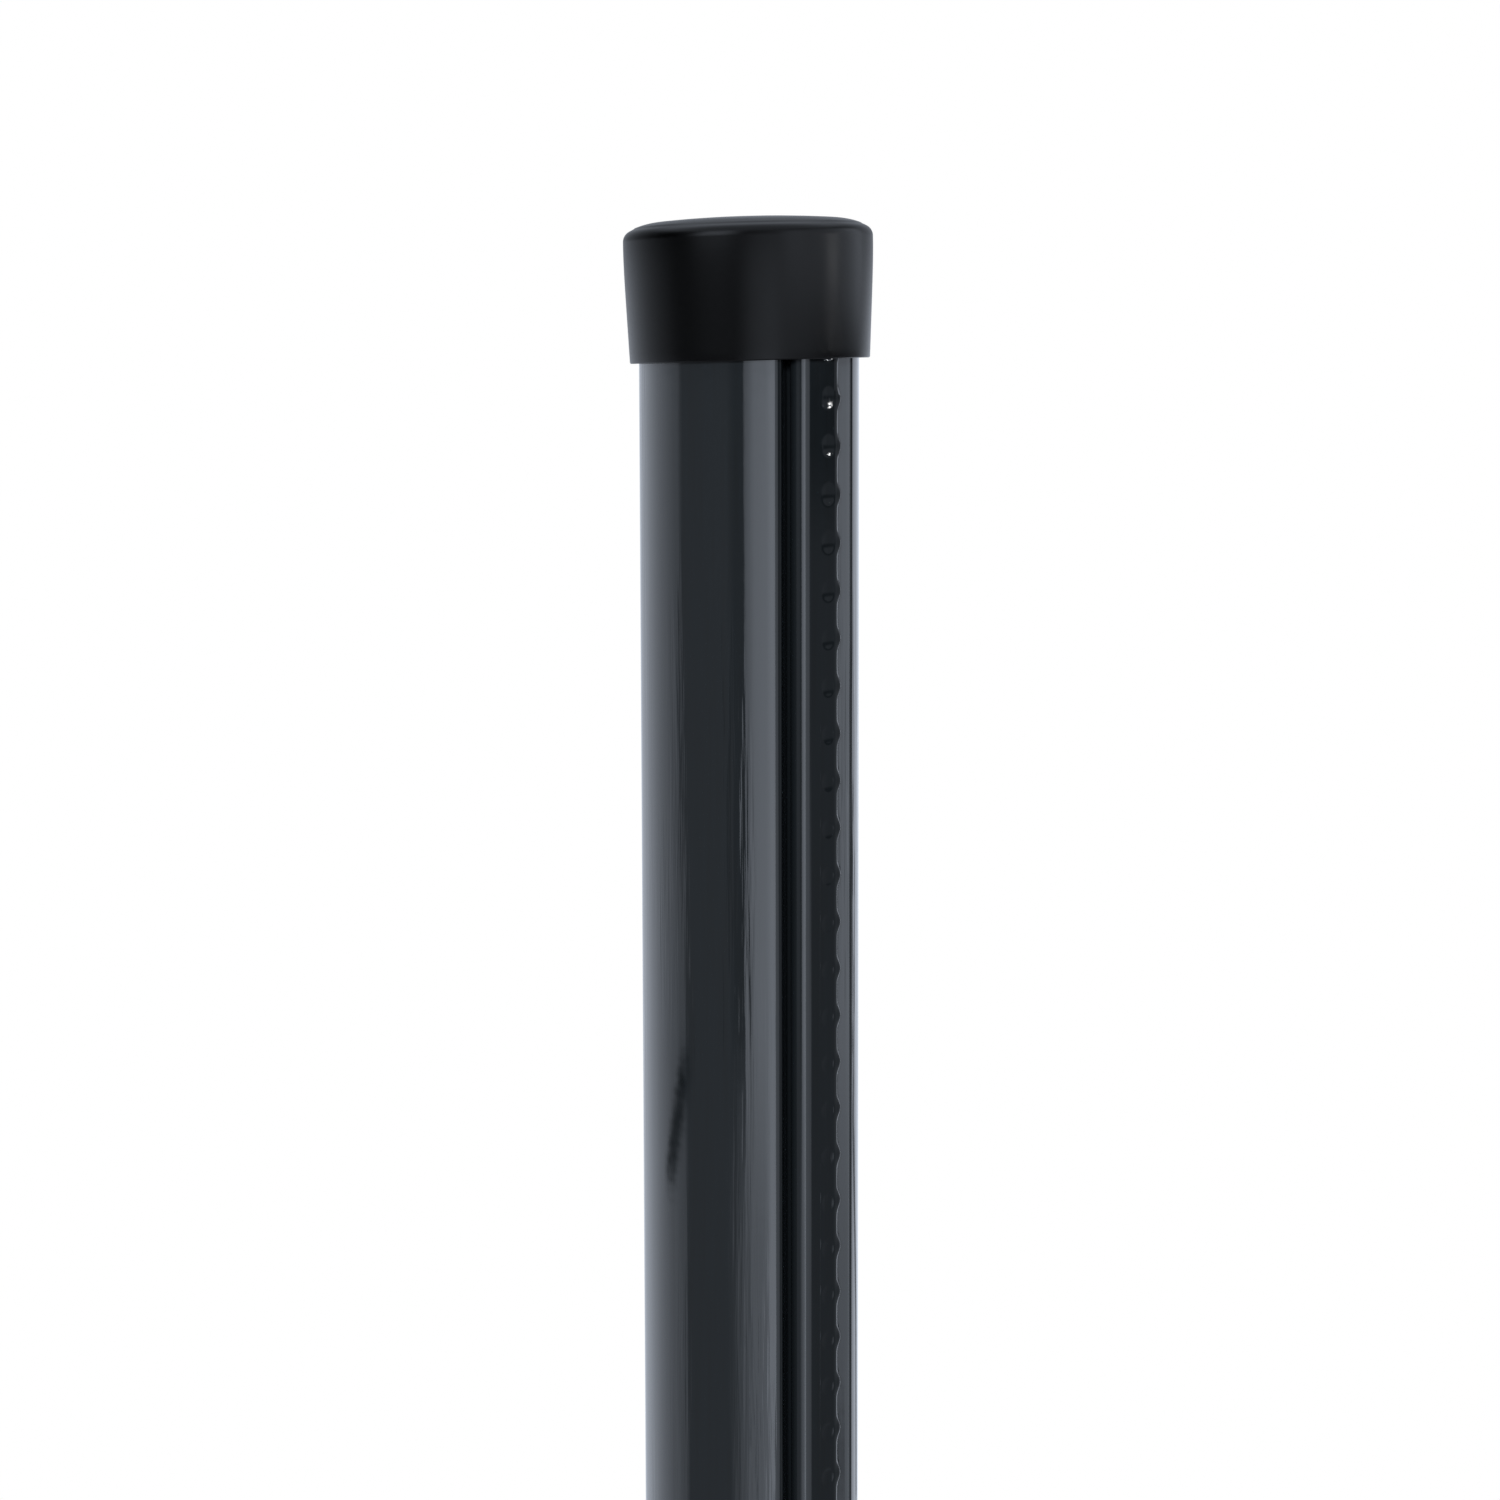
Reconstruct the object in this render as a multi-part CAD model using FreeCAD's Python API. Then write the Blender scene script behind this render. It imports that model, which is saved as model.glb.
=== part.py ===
import FreeCAD, Part
import math
import os

# A round steel fence post with a clip rail rolled into its wall and a plastic cap on its top.
# Millimetres and degrees. The origin is the centre of the post's foot, +Z runs up the post,
# and the rail looks along -Y.

# Tube
post_length = 1500.0
tube_radius = 24.0           # outside
sheet = 1.5                  # thickness of the strip that the whole section is rolled from

# Clip rail: a folded head on a narrow neck, sunk between two shoulders of the tube
face_drop = 0.35             # the head's face lies this much inside the tube's radius
head_half_width = 6.05
seam_gap = 0.41              # between the layers of sheet that are folded over each other
neck_gap = 0.3               # between the two layers that stand side by side in the neck
groove_height = 1.83         # clear height under the head, where a clip's legs go
groove_floor = 0.8           # flat width of the groove's floor
neck_root_radius = 1.0       # neck to floor, on the groove's side
neck_top_radius = 0.6        # neck to head, on the groove's side
groove_corner_radius = 1.5   # floor to sloping wall, on the groove's side
shoulder_radius = 2.0        # sloping wall to tube, outside
shoulder_angle = 28.5        # from the rail's middle to where the shoulder meets the round tube

# Dents pressed along one edge of the head, which stop the clips from sliding. The punch is
# taken as a six-sided one, which is as round as a row this long needs.
dent_pitch = 10.32
dent_first = 13.7            # from the top of the tube to the first dent's middle
dent_foot_margin = 4.0       # no dent's middle is nearer to the foot
dent_sides = 6
dent_width = 4.4             # across corners, at the head's face
dent_bottom_width = 2.4
dent_depth = 0.5
dent_inset = 1.3             # from the middle of the head's rounded edge back on to its face

# Cap: a moulded cup that widens towards its crowned top and sits a little askew
cap_wall = 1.5               # at the mouth
cap_flare = 2.65             # of the outside, on each side
cap_height = 31.0            # from the mouth to the top of the crown
cap_crown_radius = 240.0
cap_brow_width = 6.2         # of the rim of the crown, which falls away to the side
cap_brow_radius = 16.0
cap_corner_radius = 2.5      # between that rim and the side
cap_top_wall = 2.6
cap_lip_bevel = 0.4
cap_draft = 0.3              # of the bore, wider at the mouth
cap_clearance = 0.15         # between the bore and the tube, beside what the lean takes
cap_seat_gap = 0.08          # between the crown's inside and the tube's end
cap_lean = 1.45
cap_lean_towards = 138.5     # turned from +X towards +Y

# Worked out from the above
half_sheet = sheet / 2
tube_mid_radius = tube_radius - half_sheet
hem_radius = seam_gap + sheet                       # middle of the sheet, round each edge of the head
hem_outside = hem_radius + half_sheet
hem_x = head_half_width - hem_outside
face_y = -(tube_radius - face_drop)
hem_y = face_y + hem_outside
neck_x = (neck_gap + sheet) / 2
neck_root = neck_root_radius + half_sheet
neck_top = neck_top_radius + half_sheet
floor_y = face_y + 2 * hem_outside + groove_height + half_sheet
corner = groove_corner_radius + half_sheet
shoulder = shoulder_radius - half_sheet

UP = FreeCAD.Vector(0, 0, 1)
CENTRE = FreeCAD.Vector(0, 0, 0)


def run(length):
    """A straight stretch of the rolled strip."""
    return length, 0


def bend(radius, turn):
    """A bend at the middle of the sheet, turning left where turn is positive."""
    return radius, turn


def sloping_wall():
    """Angle and length of the straight wall between the groove's corner and the shoulder."""
    reach = tube_mid_radius - shoulder
    shoulder_x = reach * math.sin(math.radians(shoulder_angle))
    shoulder_y = -reach * math.cos(math.radians(shoulder_angle))
    across = shoulder_x - (neck_x + neck_root + groove_floor)
    out = (floor_y - corner) - shoulder_y
    apart = math.hypot(across, out)
    crossing = math.asin((shoulder + corner) / apart)
    slope = math.degrees(math.atan2(out, across) + crossing)
    return slope, apart * math.cos(crossing)


def strip_steps():
    """The rolled strip from one edge to the other, as runs and bends at the middle of the sheet."""
    slope, wall = sloping_wall()
    flange = hem_x - neck_x - neck_top
    neck_foot_y = floor_y - neck_root
    inner_neck = neck_foot_y - (hem_y + neck_top)
    outer_neck = neck_foot_y - (hem_y + hem_radius + neck_top)
    climb = [bend(neck_root, -90), run(groove_floor), bend(corner, -slope), run(wall)]
    fall = [run(wall), bend(corner, -slope), run(groove_floor), bend(neck_root, -90)]
    round_shoulder = bend(shoulder, slope + shoulder_angle)
    hem = bend(hem_radius, 180)
    inner_side = [run(flange), bend(neck_top, -90), run(inner_neck)]
    outer_side = [run(outer_neck), bend(neck_top, -90), run(flange)]
    body = [round_shoulder, bend(tube_mid_radius, 360 - 2 * shoulder_angle), round_shoulder]
    head = [hem, run(2 * hem_x), hem, run(flange)]
    return inner_side + climb + body + fall + outer_side + head


def trace(steps, start, heading, side):
    """Edges that follow the steps at a distance to their left, and where they end."""
    angle = math.radians(heading)
    left = FreeCAD.Vector(-math.sin(angle), math.cos(angle), 0)
    here = start + left * side
    edges = []
    for size, turn in steps:
        left = FreeCAD.Vector(-math.sin(angle), math.cos(angle), 0)
        if turn == 0:
            there = here + FreeCAD.Vector(math.cos(angle), math.sin(angle), 0) * size
            edges.append(Part.LineSegment(here, there).toShape())
        else:
            bow = math.copysign(size, turn) - side
            middle = here + left * bow
            halfway = middle + FreeCAD.Rotation(UP, turn / 2).multVec(here - middle)
            there = middle + FreeCAD.Rotation(UP, turn).multVec(here - middle)
            edges.append(Part.Arc(here, halfway, there).toShape())
            angle += math.radians(turn)
        here = there
    return edges, here


def section():
    """The post's cross-section, one strip folded shut at the rail's head."""
    start = FreeCAD.Vector(hem_x, hem_y, 0)
    left_edges, left_end = trace(strip_steps(), start, 180, half_sheet)
    right_edges, right_end = trace(strip_steps(), start, 180, -half_sheet)
    left_start = left_edges[0].Vertexes[0].Point
    right_start = right_edges[0].Vertexes[0].Point
    first_edge = Part.LineSegment(right_start, left_start).toShape()
    last_edge = Part.LineSegment(left_end, right_end).toShape()
    edges = Part.sortEdges([first_edge, last_edge] + left_edges + right_edges)[0]
    return Part.Face(Part.Wire(edges))


def dent_middles():
    """Middles of the dents on the head's face, from the top one down to the foot."""
    room = post_length - dent_first - dent_foot_margin
    count = int(room // dent_pitch) + 1
    top = post_length - dent_first
    return [FreeCAD.Vector(hem_x - dent_inset, face_y, top - dent_pitch * i) for i in range(count)]


def punch(middle):
    """The tapered six-sided punch that leaves a dent, from its tip out to clear of the head."""
    taper = (dent_width - dent_bottom_width) / dent_depth

    def ring(height):
        radius = (dent_width + taper * height) / 2
        corners = []
        for i in range(dent_sides):
            angle = 2 * math.pi * i / dent_sides
            across = FreeCAD.Vector(math.cos(angle), 0, math.sin(angle))
            corners.append(middle + across * radius - FreeCAD.Vector(0, height, 0))
        return corners + corners[:1]

    tip = ring(-dent_depth)
    clear = ring(hem_outside)
    outlines = [Part.makePolygon(tip), Part.makePolygon(clear)]
    for i in range(dent_sides):
        outlines.append(Part.makePolygon([tip[i], tip[i + 1], clear[i + 1], clear[i], tip[i]]))
    return Part.Solid(Part.Shell([Part.Face(outline) for outline in outlines]))


def post_tube():
    """The rolled tube with its rail and the row of dents."""
    rolled = section().extrude(UP * post_length)
    return rolled.cut([punch(middle) for middle in dent_middles()])


def point(radius, height):
    """A point of the cap's profile, by its distance from the axis and its height."""
    return FreeCAD.Vector(radius, 0, height)


def line(start, end):
    return Part.LineSegment(start, end).toShape()


def arc(middle, start, end):
    """The shorter arc about a middle."""
    halfway = (start + end) * 0.5 - middle
    return Part.Arc(start, middle + halfway * ((start - middle).Length / halfway.Length), end).toShape()


def cap_profile():
    """Half of the cap's section, with the mouth at z = 0, and the height of its bore's wall."""
    lean_room = cap_height / 2 * math.tan(math.radians(cap_lean))
    bore = tube_radius + lean_room + cap_clearance
    widening = math.tan(math.radians(cap_draft))
    crown_middle = point(0, cap_height - cap_crown_radius)
    inside_radius = cap_crown_radius - cap_top_wall
    inside_height = crown_middle.z + math.sqrt(inside_radius ** 2 - bore ** 2)
    bore_mouth = bore + inside_height * widening
    mouth = bore_mouth + cap_wall

    turned = math.asin((mouth - cap_brow_width) / cap_crown_radius)
    outward = point(math.sin(turned), math.cos(turned))
    crown_end = crown_middle + outward * cap_crown_radius
    brow_middle = crown_end - outward * cap_brow_radius

    flare = math.radians(cap_flare)
    up_side = point(math.sin(flare), math.cos(flare))
    inward = point(-math.cos(flare), math.sin(flare))
    parallel = point(mouth, 0) + inward * cap_corner_radius - brow_middle
    along = parallel.dot(up_side)
    reach_in = cap_brow_radius - cap_corner_radius
    up = math.sqrt(along ** 2 - parallel.dot(parallel) + reach_in ** 2) - along
    corner_middle = brow_middle + parallel + up_side * up
    side_end = corner_middle - inward * cap_corner_radius
    brow_end = brow_middle + (corner_middle - brow_middle) * (cap_brow_radius / reach_in)

    top = point(0, cap_height)
    top_under = point(0, cap_height - cap_top_wall)
    bore_end = point(bore, inside_height)
    lip_in = point(mouth - cap_lip_bevel, 0)
    lip_out = point(mouth, 0) + up_side * cap_lip_bevel
    edges = [line(point(bore_mouth, 0), lip_in),
             line(lip_in, lip_out),
             line(lip_out, side_end),
             arc(corner_middle, side_end, brow_end),
             arc(brow_middle, brow_end, crown_end),
             arc(crown_middle, crown_end, top),
             line(top, top_under),
             arc(crown_middle, top_under, bore_end),
             line(bore_end, point(bore_mouth, 0))]
    return Part.Face(Part.Wire(edges)), inside_height


def top_cap():
    """The moulded cap, turned about its axis and set askew on the tube's end."""
    profile, inside_height = cap_profile()
    return seated(profile.revolve(CENTRE, UP, 360), inside_height)


def seated(cap, inside_height):
    """The cap leant over about the middle of its bore, with the tube's end up against its crown."""
    lean = math.radians(cap_lean)
    towards = math.radians(cap_lean_towards)
    pivot = FreeCAD.Vector(0, 0, inside_height / 2)
    axis = FreeCAD.Vector(-math.sin(towards), math.cos(towards), 0)
    above_pivot = (inside_height / 2 - cap_seat_gap - tube_radius * math.sin(lean)) / math.cos(lean)
    cap.rotate(pivot, axis, cap_lean)
    cap.translate(FreeCAD.Vector(0, 0, post_length - above_pivot - pivot.z))
    return cap


def main():
    os.makedirs("parts", exist_ok=True)
    post_tube().exportStep("parts/post_tube.step")
    top_cap().exportStep("parts/top_cap.step")


main()
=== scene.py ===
import math
import bpy
from mathutils import Matrix, Vector


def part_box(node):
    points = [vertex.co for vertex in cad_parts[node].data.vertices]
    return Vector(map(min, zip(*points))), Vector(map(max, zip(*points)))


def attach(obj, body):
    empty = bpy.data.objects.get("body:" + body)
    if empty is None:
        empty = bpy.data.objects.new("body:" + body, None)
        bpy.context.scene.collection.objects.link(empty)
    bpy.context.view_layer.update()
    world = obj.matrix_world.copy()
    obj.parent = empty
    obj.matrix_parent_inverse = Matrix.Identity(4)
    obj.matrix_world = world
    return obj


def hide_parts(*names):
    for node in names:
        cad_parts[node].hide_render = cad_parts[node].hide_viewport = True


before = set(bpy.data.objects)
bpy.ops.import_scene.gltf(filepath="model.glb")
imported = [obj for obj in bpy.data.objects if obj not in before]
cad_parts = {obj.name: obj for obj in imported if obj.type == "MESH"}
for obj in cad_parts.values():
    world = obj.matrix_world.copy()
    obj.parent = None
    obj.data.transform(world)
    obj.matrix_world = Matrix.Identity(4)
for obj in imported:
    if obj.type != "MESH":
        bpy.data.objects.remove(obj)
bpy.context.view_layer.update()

MM = 0.001

# The post, as its solids are built. The rail looks along -Y.
post_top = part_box("post_tube")[1]
post_length = post_top.z
tube_radius = post_top.x
sheet = 1.5 * MM
face_drop = 0.35 * MM
head_half_width = 6.05 * MM
seam_gap = 0.41 * MM
neck_gap = 0.3 * MM
groove_height = 1.83 * MM
groove_floor = 0.8 * MM
neck_root_radius = 1.0 * MM
neck_top_radius = 0.6 * MM
groove_corner_radius = 1.5 * MM
shoulder_radius = 2.0 * MM
shoulder_angle = 28.5
shoulder_tight_part = 0.08    # of the right shoulder's length, on which it does most of its turning
shoulder_even_turn = 0.2      # share of its turn that is spread over the whole of it

# The dents, pressed by a ball that also swells the rounded edge beside each one
dent_pitch = 10.32 * MM
dent_first = 13.7 * MM
dent_foot_margin = 4.0 * MM
dent_ball_radius = 16.0 * MM
dent_depth = 0.19 * MM
dent_inset = 1.3 * MM
dent_lip = 0.02 * MM          # over which the sheet rolls into a dent
dent_reach = 3.0 * MM         # from a dent's middle to where the sheet is untouched
swell = 0.7 * MM
swell_bearing = 52.0          # round the head's edge, from the way its face looks
swell_width = 22.0
swell_height = 2.0 * MM
face_bow = 0.08 * MM          # by which the head's face falls away to each side

# The cap
cap_wall = 1.5 * MM
cap_flare = 2.65
cap_height = 31.0 * MM
cap_crown_radius = 240 * MM
cap_brow_width = 6.2 * MM
cap_brow_radius = 16 * MM
cap_corner_radius = 2.5 * MM
cap_side_bow = 0.25 * MM      # by which the side draws in towards its top
cap_side_bow_power = 6        # the higher, the nearer to the top it does so
cap_skew = 0.6                # by which the sides lean less than the mouth and the crown
cap_top_wall = 2.6 * MM
cap_lip_radius = 0.35 * MM
cap_draft = 0.3
cap_clearance = 0.15 * MM
cap_seat_gap = 0.08 * MM
cap_lean = 1.45
cap_lean_towards = 138.5

# How finely the meshes are cut. Steps are in degrees.
arc_step = 6.0                # on the small bends
shoulder_step = 2.0
tube_step = 3.0               # on the tube's wall
face_columns = 20
wall_columns = 3              # on each sloping wall of the groove
plain_row = 100 * MM
dent_row = 0.45 * MM
crown_step = 1.0
brow_step = 2.0
lip_step = 15.0
bore_rows = 4
side_rows = 16
cap_segments = 180
cap_sharp_angle = 40          # of an edge that is shaded as a crease

# The finishes
roller_line = 1.1 * MM        # width of the lines that the rollers left
roller_line_height = 0.11 * MM
roller_line_shape = 0.035     # width over length
worked_patch = 14 * MM        # width of the stretches that were rolled harder
worked_patch_shape = 0.12
orange_peel = 3.0 * MM
orange_peel_height = 0.02 * MM
mould_grain = 0.5 * MM
mould_grain_height = 0.01 * MM

# The camera: level with the cap's mouth and about an arm's length from the post
camera_azimuth = -41.5
camera_distance = 747 * MM
camera_pitch = -6.516
camera_roll = -0.135
camera_lens = 81.8            # millimetres, for a sensor of this width
camera_sensor = 36

# The studio. A bearing is in degrees round the post, from 0 towards the camera to 90 at the
# picture's right. Levels of light are chosen, and 1 is white.
tint = (0.92, 1.0, 1.14)      # of the screens and the cap's lamp
shade_level = 0.1             # of the world, for what isn't a mirror image
screen_radius = 3.0
screen_foot = 0.1
screen_top = 4.2
screen_row = 0.02             # of the low screens, which reach up to eye level
screen_step = 0.75            # degrees
eye_level = 1.47
eye_level_fade = 0.1
cloth_height = 0.01           # of a cloth on the floor
cloth_radii = (0.3, 1.0)      # of its plain part
cloth_edge = 2.7              # where its light has become that of the screens over it
cloth_glow = 0.7
ceiling_hole = 0.02
ceiling_glow = 1.5

# Levels of the screens by bearing: the low ones, what stands before them at their foot, and the
# ones over eye level
low_glow = [(-180, 0.85), (-158, 0.9), (-136, 1.4), (-121, 1.5), (-110, 1.4), (-99, 1.25),
            (-90, 1.05), (-85, 0.9), (-80, 0.85), (-77, 0.5), (-74, 0.3), (-24, 0.3), (-16, 0.15),
            (-6, 0.15), (-5, 1.3), (0, 1.75), (4, 2.3), (11, 2.5), (17, 2.6), (23, 3.2), (26, 3.0),
            (29, 1.3), (40, 1.0), (46, 1.0), (62, 0.9), (68, 0.25), (79, 0.15), (88, 0.15),
            (98, 0.2), (126, 0.3), (134, 1.2), (165, 1.2), (180, 1.0)]
foot_glow = [(-24, 0.3), (-18, 0.45), (-11, 0.9), (-5, 1.1), (1.4, 1.6), (15, 1.7), (19, 2.4),
             (21, 3.1), (26, 3.1), (29, 1.3), (40, 1.0)]
foot_fade = (0.5, 0.75)
high_glow = [(-180, 0.6), (-120, 0.4), (-90, 0.0), (-10, 0.0), (5, 0.6), (20, 0.9), (45, 1.0),
             (58, 0.2), (108, 0.2), (130, 0.5), (180, 0.6)]

# A cloth between two bearings that stands further round to the right near the floor
turned_cloth = (-90, -60)
turned_cloth_by = 5
turned_cloth_fade = (0.85, 1.0)

# A lit sheet near the floor, and a window high up on the other side of the camera: the middle,
# half the width and the soft edge, in degrees
low_sheet = (70, 8, 3)
low_sheet_glow = 0.8
low_sheet_fade = (0.75, 1.05)
window = (-32, 20, 5)
window_glow = 4.5
window_fade = (1.7, 1.9)

# A stretch between two bearings where the low screens end early
short_sheet = (70, 98)
short_sheet_fade = (1.26, 1.38)

# Narrow dark things: a path of bearings and heights, half its width in degrees, and its level
strokes = [([(-73, 0.7), (-97, 0.57)], 8.0, 0.0),
           ([(1.4, 0.42), (5.5, 0.2)], 1.2, 0.5),
           ([(136, 1.0), (138, 0.93), (141, 0.655), (155, 0.41), (158, 0.2)], 3.0, 0.2)]
stroke_softness = 0.4         # of half the width, in and out from its edge

# The floor
floor_radii = (0.2, 0.5, 1.0, 1.6, 2.0, 2.5)
floor_segments = 96
floor_fade = (0.3, 2.375)
floor_white = 0.75            # share of plain white in what is seen of it at the post

# A soft lamp behind the camera and over it
key_lamp_bearing = -4
key_lamp_distance = 2.2
key_lamp_height = 1.9
key_lamp_size = 0.3
key_lamp_watts = 22
key_lamp_aim = 0.85           # of the post's length

# A small softbox beside the cap, which stops short of the bulb's way to the dents
cap_lamp_bearing = 75
cap_lamp_distance = 0.12
cap_lamp_foot = 1.478
cap_lamp_width = 0.24
cap_lamp_height = 0.1
cap_lamp_watts = 0.12

# The bulb
bulb_bearing = 81
bulb_distance = 0.3666
bulb_height = 1.5025
bulb_radius = 0.009
bulb_glow = 60
bulb_rings = 8
bulb_segments = 16

# Worked out from the above
half_sheet = sheet / 2
tube_mid_radius = tube_radius - half_sheet
hem_radius = seam_gap + sheet
hem_outside = hem_radius + half_sheet
hem_x = head_half_width - hem_outside
face_y = face_drop - tube_radius
hem_y = face_y + hem_outside
neck_x = (neck_gap + sheet) / 2
neck_root = neck_root_radius + half_sheet
neck_top = neck_top_radius + half_sheet
floor_y = face_y + 2 * hem_outside + groove_height + half_sheet
corner = groove_corner_radius + half_sheet
shoulder = shoulder_radius - half_sheet
dent_x = hem_x - dent_inset


def sloping_wall():
    """Angle and length of the straight wall between the groove's corner and the shoulder."""
    reach = tube_mid_radius - shoulder
    across = reach * math.sin(math.radians(shoulder_angle)) - (neck_x + neck_root + groove_floor)
    out = floor_y - corner + reach * math.cos(math.radians(shoulder_angle))
    apart = math.hypot(across, out)
    crossing = math.asin((shoulder + corner) / apart)
    return math.degrees(math.atan2(out, across) + crossing), apart * math.cos(crossing)


def strip_steps():
    """The rolled strip from edge to edge: size, turn and how many columns, for each run and bend."""
    slope, wall = sloping_wall()
    flange = hem_x - neck_x - neck_top
    inner_neck = floor_y - neck_root - hem_y - neck_top
    outer_neck = inner_neck - hem_radius

    def run(length, columns=1):
        return length, 0, columns

    def bend(radius, turn, step=arc_step):
        return radius, turn, math.ceil(abs(turn) / step)

    climb = [bend(neck_root, -90), run(groove_floor), bend(corner, -slope), run(wall, wall_columns)]
    fall = [run(wall, wall_columns), bend(corner, -slope), run(groove_floor), bend(neck_root, -90)]
    round_shoulder = bend(shoulder, slope + shoulder_angle, shoulder_step)
    around = bend(tube_mid_radius, 360 - 2 * shoulder_angle, tube_step)
    hem = bend(hem_radius, 180)
    inner_side = [run(flange), bend(neck_top, -90), run(inner_neck)]
    outer_side = [run(outer_neck), bend(neck_top, -90), run(flange)]
    head = [hem, run(2 * hem_x, face_columns), hem, run(flange)]
    return inner_side + climb + [round_shoulder, around, round_shoulder] + fall + outer_side + head


def rise(value, low, high):
    """From 0 to 1 as a value goes from low to high."""
    return min(max((value - low) / (high - low), 0), 1)


def ahead(heading):
    return Vector((math.cos(heading), math.sin(heading)))


def left_of(heading):
    return Vector((-math.sin(heading), math.cos(heading)))


def tight_bend(here, angle, radius, turn, columns):
    """Places and headings on a bend that ends where a round one does, but turns most halfway."""
    headings, walk = [], [Vector((0, 0))]
    for i in range(2 * columns):
        share = i / (2 * columns)
        halfway = rise(share, 0.5 - shoulder_tight_part / 2, 0.5 + shoulder_tight_part / 2)
        tight_turn = (1 - shoulder_even_turn) * halfway * halfway * (3 - 2 * halfway)
        headings.append(angle + math.radians(turn) * (shoulder_even_turn * share + tight_turn))
        if i % 2:
            walk.append(walk[-1] + ahead(headings[-1]))
    chord = 2 * radius * math.sin(math.radians(turn) / 2)
    scale = chord / walk[-1].length
    return [(here + step * scale, heading) for step, heading in zip(walk, headings[::2])]


def on_step(here, angle, size, turn, share):
    """Place and heading at a share of the way along a run or a round bend."""
    if turn == 0:
        return here + ahead(angle) * size * share, angle
    bow = math.copysign(size, turn)
    heading = angle + math.radians(turn) * share
    return here + left_of(angle) * bow - left_of(heading) * bow, heading


def stations():
    """Places along the strip: the middle of the sheet there, and the way to its left."""
    angle = math.pi
    here = Vector((hem_x, hem_y))
    places = []
    for size, turn, columns in strip_steps():
        if size == shoulder and here.x > 0:
            places += tight_bend(here, angle, size, turn, columns)
        else:
            places += [on_step(here, angle, size, turn, i / columns) for i in range(columns)]
        here, angle = on_step(here, angle, size, turn, 1)
    places.append((here, angle))
    return [(middle, left_of(heading)) for middle, heading in places]


def dent_heights():
    count = int((post_length - dent_first - dent_foot_margin) // dent_pitch) + 1
    return [post_length - dent_first - dent_pitch * i for i in range(count)]


def plain_rows():
    count = math.ceil(post_length / plain_row)
    return [post_length * i / count for i in range(count + 1)]


def dented_rows():
    """Heights that are close together across each dent and far apart between dents."""
    half = math.ceil(dent_reach / dent_row)
    rows = {0.0, post_length}
    for middle in dent_heights():
        for i in range(-half, half + 1):
            height = middle + dent_reach * i / half
            if 0 < height < post_length:
                rows.add(height)
        gap = middle - dent_pitch / 2
        if gap > 0:
            rows.add(gap)
    return sorted(rows)


def soft_max(a, b, width):
    """The larger of two values, rolling from one to the other where they are close."""
    share = min(max(0.5 + 0.5 * (a - b) / width, 0), 1)
    return b + (a - b) * share + width * share * (1 - share)


def bowed(place, outward):
    """A point of the head's outside, moved in for the slight bow of the head's face."""
    share = min(abs(place.x) / hem_x, 1)
    beyond = max(abs(place.x) / hem_x - 1, 0)
    return Vector((place.x, place.y - outward.y * face_bow * (share ** 2 + 2 * beyond)))


def pressed(place, outward, height, middle):
    """A point of the head's outside after the ball has pressed a dent round the middle height."""
    up = height - middle
    bearing = math.degrees(math.atan2(outward.x, -outward.y))
    swollen = math.exp(-(up / swell_height) ** 2 - ((bearing - swell_bearing) / swell_width) ** 2)
    x = place.x + outward.x * swell * swollen
    y = place.y + outward.y * swell * swollen
    inside = dent_ball_radius ** 2 - (x - dent_x) ** 2 - up ** 2
    if inside > 0:
        ball_y = face_y - dent_ball_radius + dent_depth + math.sqrt(inside)
        y = soft_max(y, ball_y, dent_lip)
    return Vector((x, y, height))


def zipped(first, second, rows, other_rows):
    """Triangles between two columns of points whose rows don't match."""
    faces = []
    i, j = 0, 0
    while i < len(first) - 1 or j < len(second) - 1:
        last = j == len(second) - 1
        if last or (i < len(first) - 1 and rows[i + 1] <= other_rows[j + 1]):
            faces.append((first[i], second[j], first[i + 1]))
            i += 1
        else:
            faces.append((first[i], second[j], second[j + 1]))
            j += 1
    return faces


def between(first, second, rows, other_rows):
    """Faces between two columns of points."""
    if rows is other_rows:
        pairs = range(len(first) - 1)
        return [(first[i], second[i], second[i + 1], first[i + 1]) for i in pairs]
    return zipped(first, second, rows, other_rows)


def post_mesh():
    """The rolled strip with both its sides, its edges and its ends, and the dents in the head.
    A normal that is None is left to the mesh."""
    places = stations()
    sparse = plain_rows()
    dense = dented_rows()
    dents = dent_heights()
    hem_columns = math.ceil(180 / arc_step)
    head_start = len(places) - 2 - 2 * hem_columns - face_columns
    points, normals, inner, outer, outer_rows = [], [], [], [], []
    for index, (middle, left) in enumerate(places):
        inside = middle + left * half_sheet
        outside = middle - left * half_sheet
        column = []
        for height in sparse:
            column.append(len(points))
            points.append(Vector((inside.x, inside.y, height)))
            normals.append(Vector((left.x, left.y, 0)))
        inner.append(column)

        on_head = index >= head_start and left.y > 1e-6
        if on_head:
            outside = bowed(outside, -left)
        near = on_head and outside.x > dent_x - dent_reach
        rows = dense if near else sparse
        column = []
        for height in rows:
            column.append(len(points))
            normals.append(None if on_head else Vector((-left.x, -left.y, 0)))
            if near:
                order = round((post_length - dent_first - height) / dent_pitch)
                closest = dents[min(max(order, 0), len(dents) - 1)]
                points.append(pressed(outside, -left, height, closest))
            else:
                points.append(Vector((outside.x, outside.y, height)))
        outer.append(column)
        outer_rows.append(rows)

    sides, flats = [], []
    for i in range(len(places) - 1):
        sides += between(outer[i], outer[i + 1], outer_rows[i], outer_rows[i + 1])
        sides += between(inner[i + 1], inner[i], sparse, sparse)
        flats.append((outer[i][0], inner[i][0], inner[i + 1][0], outer[i + 1][0]))
        flats.append((outer[i][-1], outer[i + 1][-1], inner[i + 1][-1], inner[i][-1]))
    flats += between(inner[0], outer[0], sparse, sparse)
    flats += between(outer[-1], inner[-1], sparse, sparse)
    return points, normals, sides, flats


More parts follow.
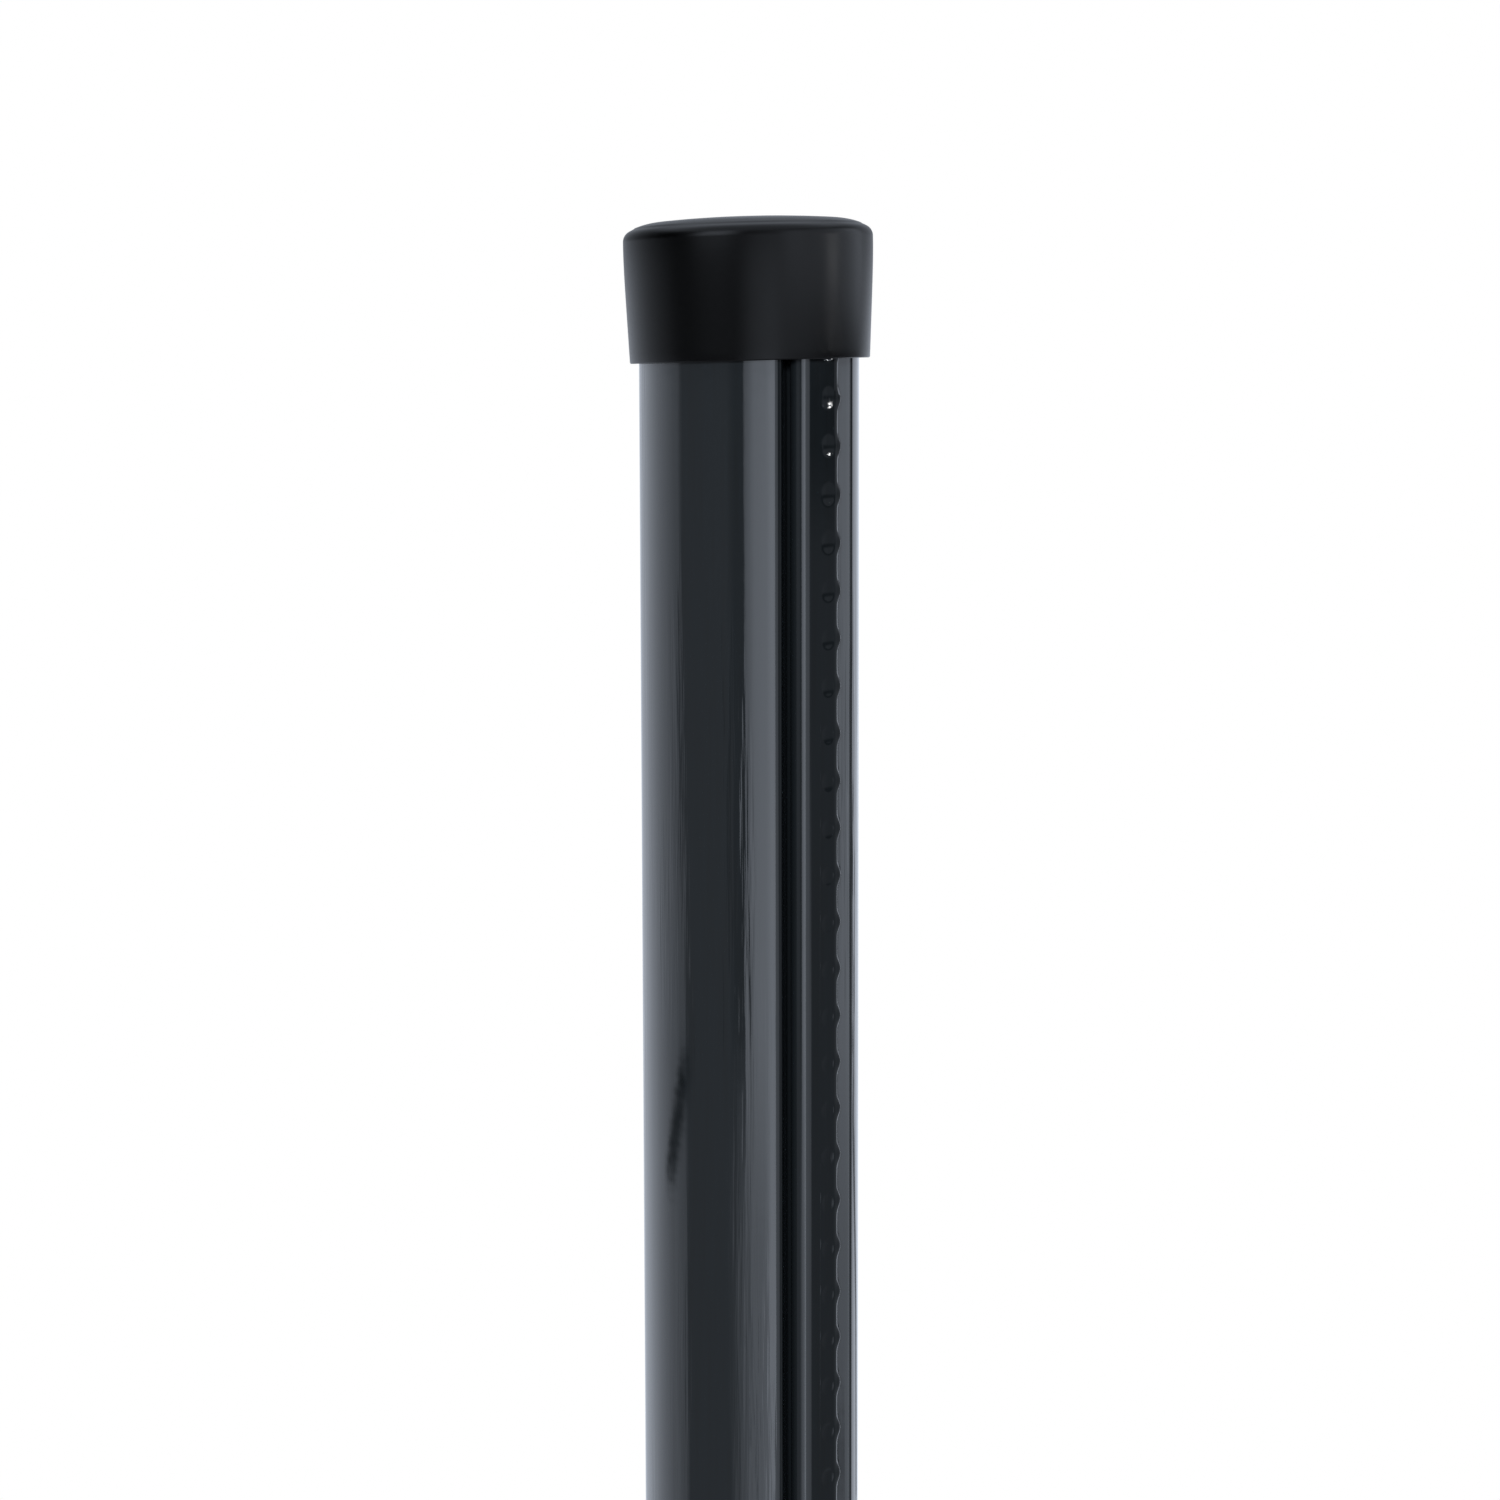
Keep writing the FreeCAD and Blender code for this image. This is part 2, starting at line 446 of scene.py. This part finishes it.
def level_at_ends(vertex):
    """A vertex's normal, without what the flat ends of the post add to it."""
    normal = vertex.normal.copy()
    if vertex.co.z < MM / 10 or vertex.co.z > post_length - MM / 10:
        normal.z = 0
        normal.normalize()
    return normal


def post_tube():
    points, normals, sides, flats = post_mesh()
    mesh = bpy.data.meshes.new("post_tube_coated")
    mesh.from_pydata(points, [], sides + flats)
    mesh.update()
    mesh.polygons.foreach_set("use_smooth", [True] * len(mesh.polygons))
    rounded = [level_at_ends(v) if n is None else n for v, n in zip(mesh.vertices, normals)]
    loop_normals = []
    for face in mesh.polygons:
        flat = face.index >= len(sides)
        for vertex in face.vertices:
            loop_normals.append(face.normal.copy() if flat else rounded[vertex])
    mesh.normals_split_custom_set(loop_normals)
    return bpy.data.objects.new("post_tube_coated", mesh)


def arc_points(centre, radius, start, end, step=arc_step):
    """Points on an arc in the cap's profile, by bearing from the axis outward, both ends in."""
    count = max(1, math.ceil(abs(end - start) / step))
    bearings = [math.radians(start + (end - start) * i / count) for i in range(count + 1)]
    return [centre + radius * Vector((math.cos(b), math.sin(b))) for b in bearings]


def cap_outline():
    """Radius and height round the cap's section, from the axis under the crown to its apex."""
    lean_room = cap_height / 2 * math.tan(math.radians(cap_lean))
    bore = tube_radius + lean_room + cap_clearance
    crown_middle = Vector((0, cap_height - cap_crown_radius))
    inside_radius = cap_crown_radius - cap_top_wall
    inside_height = crown_middle.y + math.sqrt(inside_radius ** 2 - bore ** 2)
    mouth_bore = bore + inside_height * math.tan(math.radians(cap_draft))
    mouth = mouth_bore + cap_wall

    turned = math.asin((mouth - cap_brow_width) / cap_crown_radius)
    outward = Vector((math.sin(turned), math.cos(turned)))
    brow_middle = crown_middle + outward * (cap_crown_radius - cap_brow_radius)

    flare = math.radians(cap_flare)
    up_side = Vector((math.sin(flare), math.cos(flare)))
    inward = Vector((-math.cos(flare), math.sin(flare)))
    parallel = Vector((mouth, 0)) + inward * cap_corner_radius - brow_middle
    along_side = parallel.dot(up_side)
    reach_in = cap_brow_radius - cap_corner_radius
    up = math.sqrt(along_side ** 2 - parallel.dot(parallel) + reach_in ** 2) - along_side
    corner_middle = brow_middle + parallel + up_side * up
    to_corner = corner_middle - brow_middle
    brow_end = math.degrees(math.atan2(to_corner.y, to_corner.x))
    brow_start = 90 - math.degrees(turned)

    lip_in = cap_lip_radius * math.tan(math.pi / 4 + flare / 2)
    lip_middle = Vector((mouth - lip_in, cap_lip_radius))
    bore_bearing = math.degrees(math.acos(bore / inside_radius))

    outline = arc_points(crown_middle, inside_radius, 90, bore_bearing, crown_step)
    for i in range(1, bore_rows + 1):
        down = i / bore_rows
        outline.append(Vector((bore + (mouth_bore - bore) * down, inside_height * (1 - down))))
    outline += arc_points(lip_middle, cap_lip_radius, -90, -cap_flare, lip_step)
    side_start = outline[-1]
    side_end = corner_middle - inward * cap_corner_radius
    outline += [side_start.lerp(side_end, i / side_rows) for i in range(1, side_rows)]
    outline += arc_points(corner_middle, cap_corner_radius, -cap_flare, brow_end)
    outline += arc_points(brow_middle, cap_brow_radius, brow_end, brow_start, brow_step)[1:]
    outline += arc_points(crown_middle, cap_crown_radius, brow_start, 90, crown_step)[1:]
    return [eased(point, side_end) for point in outline], inside_height


def eased(point, side_end):
    """A point of the outline, drawn in where it lies on the upper side or the corner over it."""
    outside = point.x > tube_radius + cap_wall / 2
    share = min(max(point.y / side_end.y, 0), 1) if outside else 0
    return Vector((point.x - cap_side_bow * share ** cap_side_bow_power, point.y))


def cap_place(inside_height):
    """Where the leaning cap sits, with the tube's end up against its crown."""
    lean = math.radians(cap_lean)
    towards = math.radians(cap_lean_towards)
    pivot = inside_height / 2
    above = (inside_height / 2 - cap_seat_gap - tube_radius * math.sin(lean)) / math.cos(lean)
    tip = Matrix.Rotation(lean, 4, Vector((-math.sin(towards), math.cos(towards), 0)))
    skew = Matrix.Identity(4)
    skew[0][2] = -math.tan(math.radians(cap_skew)) * math.cos(towards)
    skew[1][2] = -math.tan(math.radians(cap_skew)) * math.sin(towards)
    return Matrix.Translation((0, 0, post_length - above)) @ tip @ skew @ Matrix.Translation((0, 0, -pivot))


def mouth_height():
    """Height of the middle of the cap's mouth."""
    return cap_place(cap_outline()[1]).translation.z


def top_cap():
    outline, inside_height = cap_outline()
    place = cap_place(inside_height)
    points, rings = [], []
    for radius, height in outline:
        if radius < 1e-6:
            rings.append([len(points)])
            points.append(place @ Vector((0, 0, height)))
            continue
        ring = []
        for i in range(cap_segments):
            angle = 2 * math.pi * i / cap_segments
            ring.append(len(points))
            points.append(place @ Vector((radius * math.cos(angle), radius * math.sin(angle), height)))
        rings.append(ring)
    faces = []
    for lower, upper in zip(rings, rings[1:]):
        for i in range(cap_segments):
            j = (i + 1) % cap_segments
            if len(lower) == 1:
                faces.append((lower[0], upper[j], upper[i]))
            elif len(upper) == 1:
                faces.append((lower[i], lower[j], upper[0]))
            else:
                faces.append((lower[i], lower[j], upper[j], upper[i]))
    mesh = bpy.data.meshes.new("top_cap_moulded")
    mesh.from_pydata(points, [], faces)
    mesh.polygons.foreach_set("use_smooth", [True] * len(mesh.polygons))
    mesh.set_sharp_from_angle(angle=math.radians(cap_sharp_angle))
    mesh.update()
    return bpy.data.objects.new("top_cap_moulded", mesh)


def linear(colour):
    """An sRGB hex colour as linear light."""
    parts = [int(colour[i:i + 2], 16) / 255 for i in (1, 3, 5)]
    return [c / 12.92 if c <= 0.04045 else ((c + 0.055) / 1.055) ** 2.4 for c in parts] + [1.0]


def add(tree, kind, inputs=None, **settings):
    """A node with its settings. An input is a value, or the socket of a node to link from."""
    new = tree.nodes.new(kind)
    for name, value in settings.items():
        setattr(new, name, value)
    for name, value in (inputs or {}).items():
        if isinstance(value, bpy.types.NodeSocket):
            tree.links.new(value, new.inputs[name])
        else:
            new.inputs[name].default_value = value
    return new


def new_material(name):
    """An empty material. Where it glows, only mirror rays find it: the screens and the bulb cast
    no shadows, so sampled as lamps they would shine through each other."""
    material = bpy.data.materials.new(name)
    material.use_nodes = True
    material.cycles.emission_sampling = "NONE"
    material.node_tree.nodes.clear()
    return material, material.node_tree


def powder_coat():
    """Anthracite polyester powder, baked on to rolled steel. It gives a wet-looking gloss with a
    faint orange peel, and lines that the rollers left run up the post under it."""
    material, tree = new_material("powder_coated_rolled_steel")
    place = add(tree, "ShaderNodeTexCoord").outputs["Object"]
    lines_place = add(tree, "ShaderNodeMapping", {"Vector": place, "Scale": (1, 1, roller_line_shape)})
    lines = add(tree, "ShaderNodeTexNoise", {"Vector": lines_place.outputs["Vector"],
                                             "Scale": 1 / roller_line, "Detail": 2.0})
    patch_place = add(tree, "ShaderNodeMapping", {"Vector": place, "Scale": (1, 1, worked_patch_shape)})
    patches = add(tree, "ShaderNodeTexNoise", {"Vector": patch_place.outputs["Vector"],
                                               "Scale": 1 / worked_patch, "Detail": 1.0})
    worked = add(tree, "ShaderNodeMapRange", {"Value": patches.outputs["Fac"], "From Min": 0.48,
                                              "From Max": 0.64, "To Min": 0.05, "To Max": 1.0})
    peel = add(tree, "ShaderNodeTexNoise", {"Vector": place, "Scale": 1 / orange_peel, "Detail": 1.0})
    lines_bump = add(tree, "ShaderNodeBump", {"Height": lines.outputs["Fac"],
                                              "Strength": worked.outputs["Result"],
                                              "Distance": roller_line_height})
    bump = add(tree, "ShaderNodeBump", {"Height": peel.outputs["Fac"], "Strength": 0.25,
                                        "Distance": orange_peel_height,
                                        "Normal": lines_bump.outputs["Normal"]})
    shade = add(tree, "ShaderNodeMapRange", {"Value": lines.outputs["Fac"], "From Min": 0.3,
                                             "From Max": 0.7, "To Min": 0.0, "To Max": 1.0})
    colour = add(tree, "ShaderNodeMix", {"Factor": shade.outputs["Result"], "A": linear("#24292D"),
                                         "B": linear("#252B30")}, data_type="RGBA")
    rough = add(tree, "ShaderNodeMapRange", {"Value": peel.outputs["Fac"], "From Min": 0.3,
                                             "From Max": 0.7, "To Min": 0.05, "To Max": 0.08})
    shader = add(tree, "ShaderNodeBsdfPrincipled",
                 {"Base Color": colour.outputs["Result"], "Roughness": rough.outputs["Result"],
                  "IOR": 1.5, "Normal": bump.outputs["Normal"]})
    add(tree, "ShaderNodeOutputMaterial", {"Surface": shader.outputs["BSDF"]})
    return material


def moulded_polyethylene():
    """Black polyethylene from a steel mould. It is nearly without colour, and its satin skin
    spreads each light into a broad dull patch."""
    material, tree = new_material("moulded_black_polyethylene")
    place = add(tree, "ShaderNodeTexCoord").outputs["Object"]
    grain = add(tree, "ShaderNodeTexNoise", {"Vector": place, "Scale": 1 / mould_grain, "Detail": 2.0})
    bump = add(tree, "ShaderNodeBump", {"Height": grain.outputs["Fac"], "Strength": 0.3,
                                        "Distance": mould_grain_height})
    rough = add(tree, "ShaderNodeMapRange", {"Value": grain.outputs["Fac"], "From Min": 0.3,
                                             "From Max": 0.7, "To Min": 0.28, "To Max": 0.32})
    shader = add(tree, "ShaderNodeBsdfPrincipled",
                 {"Base Color": linear("#020202"), "Roughness": rough.outputs["Result"],
                  "IOR": 1.5, "Specular IOR Level": 0.13, "Normal": bump.outputs["Normal"]})
    add(tree, "ShaderNodeOutputMaterial", {"Surface": shader.outputs["BSDF"]})
    return material


def bearing_direction(bearing):
    """Level direction from the post at a bearing."""
    angle = math.radians(camera_azimuth)
    to_camera = Vector((math.sin(angle), -math.cos(angle), 0))
    right = Vector((math.cos(angle), math.sin(angle), 0))
    turn = math.radians(bearing)
    return to_camera * math.cos(turn) + right * math.sin(turn)


def along(steps, bearing):
    """The value of a row of steps at a bearing."""
    for (low, dim), (high, bright) in zip(steps, steps[1:]):
        if low <= bearing <= high:
            return dim + (bright - dim) * (bearing - low) / (high - low)
    return 0.0


def inside_edges(bearing, middle, half_width, soft_edge):
    """From 0 at the edges of something to 1 within its soft edge."""
    return rise(half_width - abs(bearing - middle), 0, soft_edge)


def stroke_share(bearing, height, path, half_width):
    """How far a place lies inside a narrow dark thing."""
    for (bearing_a, height_a), (bearing_b, height_b) in zip(path, path[1:]):
        if height_b <= height <= height_a:
            middle = bearing_a + (bearing_b - bearing_a) * (height_a - height) / (height_a - height_b)
            return 1 - rise(abs(bearing - middle), half_width * (1 - stroke_softness),
                            half_width * (1 + stroke_softness))
    return 0.0


def glow_at(bearing, height):
    """Light of the screens: cloths and sheets up to eye level, and softer ones over them."""
    low = along(low_glow, bearing)
    if turned_cloth[0] < bearing < turned_cloth[1]:
        low = along(low_glow, bearing - turned_cloth_by * (1 - rise(height, *turned_cloth_fade)))
    low += (low_sheet_glow - low) * (1 - rise(height, *low_sheet_fade)) * inside_edges(bearing, *low_sheet)
    if short_sheet[0] < bearing < short_sheet[1]:
        low *= 1 - rise(height, *short_sheet_fade)
    if foot_glow[0][0] < bearing < foot_glow[-1][0]:
        low += (along(foot_glow, bearing) - low) * (1 - rise(height, *foot_fade))
    for path, half_width, level in strokes:
        low *= 1 - (1 - level) * stroke_share(bearing, height, path, half_width)
    high = along(high_glow, bearing)
    high += window_glow * rise(height, *window_fade) * inside_edges(bearing, *window)
    return low + (high - low) * rise(height, eye_level, eye_level + eye_level_fade)


def screens():
    """Dark cloths and lit sheets round the post, which only its gloss sees."""
    low_rows = math.ceil((eye_level - screen_foot) / screen_row)
    heights = [screen_foot + screen_row * i for i in range(low_rows)]
    heights += [eye_level + eye_level_fade, *window_fade, screen_top]
    rows = [(radius, cloth_height, cloth_glow) for radius in cloth_radii]
    rows += [(cloth_edge, cloth_height, None)]
    rows += [(screen_radius, height, None) for height in heights]
    rows += [(cloth_edge, screen_top, ceiling_glow), (ceiling_hole, screen_top, ceiling_glow)]
    points, glows, faces = [], [], []
    for i in range(round(360 / screen_step) + 1):
        bearing = screen_step * i - 180
        way = bearing_direction(bearing)
        for radius, height, level in rows:
            points.append((way.x * radius, way.y * radius, height))
            glows.append(glow_at(bearing, height) if level is None else level)
        if i:
            start = len(rows) * (i - 1)
            faces += [(start + j, start + j + 1, start + len(rows) + j + 1, start + len(rows) + j)
                      for j in range(len(rows) - 1)]
    mesh = bpy.data.meshes.new("studio_screens")
    mesh.from_pydata(points, [], faces)
    mesh.attributes.new("glow", "FLOAT", "POINT").data.foreach_set("value", glows)
    material, tree = new_material("studio_cloth")
    glow = add(tree, "ShaderNodeAttribute", attribute_name="glow")
    light = add(tree, "ShaderNodeEmission", {"Strength": glow.outputs["Fac"], "Color": (*tint, 1)})
    add(tree, "ShaderNodeOutputMaterial", {"Surface": light.outputs["Emission"]})
    mesh.materials.append(material)
    return only_mirrored(bpy.data.objects.new("studio_screens", mesh))


def bulb():
    """A bare bulb close by, that shows as a speck in the topmost dents."""
    points, faces = [], []
    for i in range(1, bulb_rings):
        tilt = math.pi * i / bulb_rings
        for j in range(bulb_segments):
            turn = 2 * math.pi * j / bulb_segments
            points.append((math.sin(tilt) * math.cos(turn), math.sin(tilt) * math.sin(turn), math.cos(tilt)))
    for i in range(bulb_rings - 2):
        upper = bulb_segments * i
        lower = upper + bulb_segments
        for j in range(bulb_segments):
            k = (j + 1) % bulb_segments
            faces.append((upper + j, upper + k, lower + k, lower + j))
    mesh = bpy.data.meshes.new("studio_bulb")
    mesh.from_pydata(points, [], faces)
    mesh.transform(Matrix.Scale(bulb_radius, 4))
    material, tree = new_material("studio_bulb_glow")
    light = add(tree, "ShaderNodeEmission", {"Strength": bulb_glow})
    add(tree, "ShaderNodeOutputMaterial", {"Surface": light.outputs["Emission"]})
    mesh.materials.append(material)
    piece = bpy.data.objects.new("studio_bulb", mesh)
    piece.location = bearing_direction(bulb_bearing) * bulb_distance + Vector((0, 0, bulb_height))
    return only_mirrored(piece)


def only_mirrored(piece):
    """A piece of the studio that is seen in the gloss of the post and nowhere else."""
    piece.visible_camera = False
    piece.visible_diffuse = False
    piece.visible_shadow = False
    piece.visible_transmission = False
    return piece


def seen_or_mirrored(tree):
    """1 where something is seen directly, in gloss or through glass, and 0 where it only lights."""
    path = add(tree, "ShaderNodeLightPath").outputs
    seen = add(tree, "ShaderNodeMath", {0: path["Is Camera Ray"], 1: path["Is Glossy Ray"]},
               operation="MAXIMUM").outputs["Value"]
    return add(tree, "ShaderNodeMath", {0: seen, 1: path["Is Transmission Ray"]},
               operation="MAXIMUM").outputs["Value"]


def studio_floor():
    """A pale round floor that fades into the white behind it."""
    points = [(0, 0, 0)]
    for radius in floor_radii:
        for i in range(floor_segments):
            angle = 2 * math.pi * i / floor_segments
            points.append((radius * math.cos(angle), radius * math.sin(angle), 0))
    faces = [(0, 1 + i, 1 + (i + 1) % floor_segments) for i in range(floor_segments)]
    for ring in range(len(floor_radii) - 1):
        inner = 1 + ring * floor_segments
        outer = inner + floor_segments
        for i in range(floor_segments):
            j = (i + 1) % floor_segments
            faces.append((inner + i, outer + i, outer + j, inner + j))
    mesh = bpy.data.meshes.new("studio_floor")
    mesh.from_pydata(points, [], faces)
    material, tree = new_material("studio_paper")
    place = add(tree, "ShaderNodeTexCoord").outputs["Object"]
    away = add(tree, "ShaderNodeVectorMath", {0: place}, operation="LENGTH")
    fade = add(tree, "ShaderNodeMapRange", {"Value": away.outputs["Value"], "From Min": floor_fade[0],
                                            "From Max": floor_fade[1], "To Min": floor_white},
               interpolation_type="SMOOTHSTEP")
    share = add(tree, "ShaderNodeMath", {0: seen_or_mirrored(tree), 1: fade.outputs["Result"]},
                operation="MULTIPLY")
    paper = add(tree, "ShaderNodeBsdfDiffuse", {"Color": linear("#F2F2F2")})
    white = add(tree, "ShaderNodeEmission", {"Strength": 1.0})
    mixed = add(tree, "ShaderNodeMixShader", {"Fac": share.outputs["Value"], 1: paper.outputs["BSDF"],
                                              2: white.outputs["Emission"]})
    add(tree, "ShaderNodeOutputMaterial", {"Surface": mixed.outputs["Shader"]})
    mesh.materials.append(material)
    return bpy.data.objects.new("studio_floor", mesh)


def white_world():
    """White where it is seen or mirrored, and a plain soft level where it only lights."""
    world = bpy.data.worlds.new("white_world")
    world.use_nodes = True
    tree = world.node_tree
    tree.nodes.clear()
    level = add(tree, "ShaderNodeMapRange", {"Value": seen_or_mirrored(tree), "To Min": shade_level,
                                             "To Max": 1.0})
    light = add(tree, "ShaderNodeBackground", {"Strength": level.outputs["Result"],
                                               "Color": (1, 1, 1, 1)})
    add(tree, "ShaderNodeOutputWorld", {"Surface": light.outputs["Background"]})
    return world


def key_lamp():
    """A soft lamp that is aimed at the upper part of the post and isn't mirrored in it."""
    light = bpy.data.lights.new("key_lamp", "AREA")
    light.size = key_lamp_size
    light.energy = key_lamp_watts
    piece = bpy.data.objects.new("key_lamp", light)
    way = bearing_direction(key_lamp_bearing)
    piece.location = way * key_lamp_distance + Vector((0, 0, key_lamp_height))
    aim = Vector((0, 0, post_length * key_lamp_aim)) - piece.location
    piece.rotation_euler = aim.to_track_quat("-Z", "Y").to_euler()
    piece.visible_glossy = False
    return piece


def cap_lamp():
    """A soft lamp close by that is only mirrored, by the right half of the cap."""
    light = bpy.data.lights.new("cap_lamp", "AREA")
    light.shape = "RECTANGLE"
    light.size = cap_lamp_width
    light.size_y = cap_lamp_height
    light.energy = cap_lamp_watts
    light.color = tint
    piece = bpy.data.objects.new("cap_lamp", light)
    way = bearing_direction(cap_lamp_bearing)
    piece.location = way * cap_lamp_distance + Vector((0, 0, cap_lamp_foot + cap_lamp_height / 2))
    piece.rotation_euler = (-way).to_track_quat("-Z", "Y").to_euler()
    piece.visible_camera = False
    piece.visible_diffuse = False
    return piece


def photo_camera(height):
    """The camera at a height, turned, tipped and rolled to the photograph's view."""
    data = bpy.data.cameras.new("camera")
    data.lens = camera_lens
    data.sensor_width = camera_sensor
    data.clip_start = 50 * MM
    camera = bpy.data.objects.new("camera", data)
    azimuth = math.radians(camera_azimuth)
    turn = Matrix.Rotation(azimuth, 4, "Z")
    tilt = Matrix.Rotation(math.radians(90 + camera_pitch), 4, "X")
    roll = Matrix.Rotation(math.radians(camera_roll), 4, "Z")
    place = Vector((math.sin(azimuth), -math.cos(azimuth), 0)) * camera_distance
    camera.matrix_world = Matrix.Translation(place + Vector((0, 0, height))) @ turn @ tilt @ roll
    return camera


def main():
    scene = bpy.context.scene
    scene.world = white_world()
    scene.view_settings.view_transform = "Standard"

    tube = post_tube()
    tube.data.materials.append(powder_coat())
    cap = top_cap()
    cap.data.materials.append(moulded_polyethylene())
    studio = [screens(), bulb(), studio_floor()]
    camera = photo_camera(mouth_height())
    for piece in [tube, cap, camera, cap_lamp(), key_lamp()] + studio:
        scene.collection.objects.link(piece)
    scene.camera = camera

    for piece, node, slot in ((tube, "post_tube", "coated_steel"), (cap, "top_cap", "cap_plastic")):
        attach(piece, "root")
        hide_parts(node)


main()
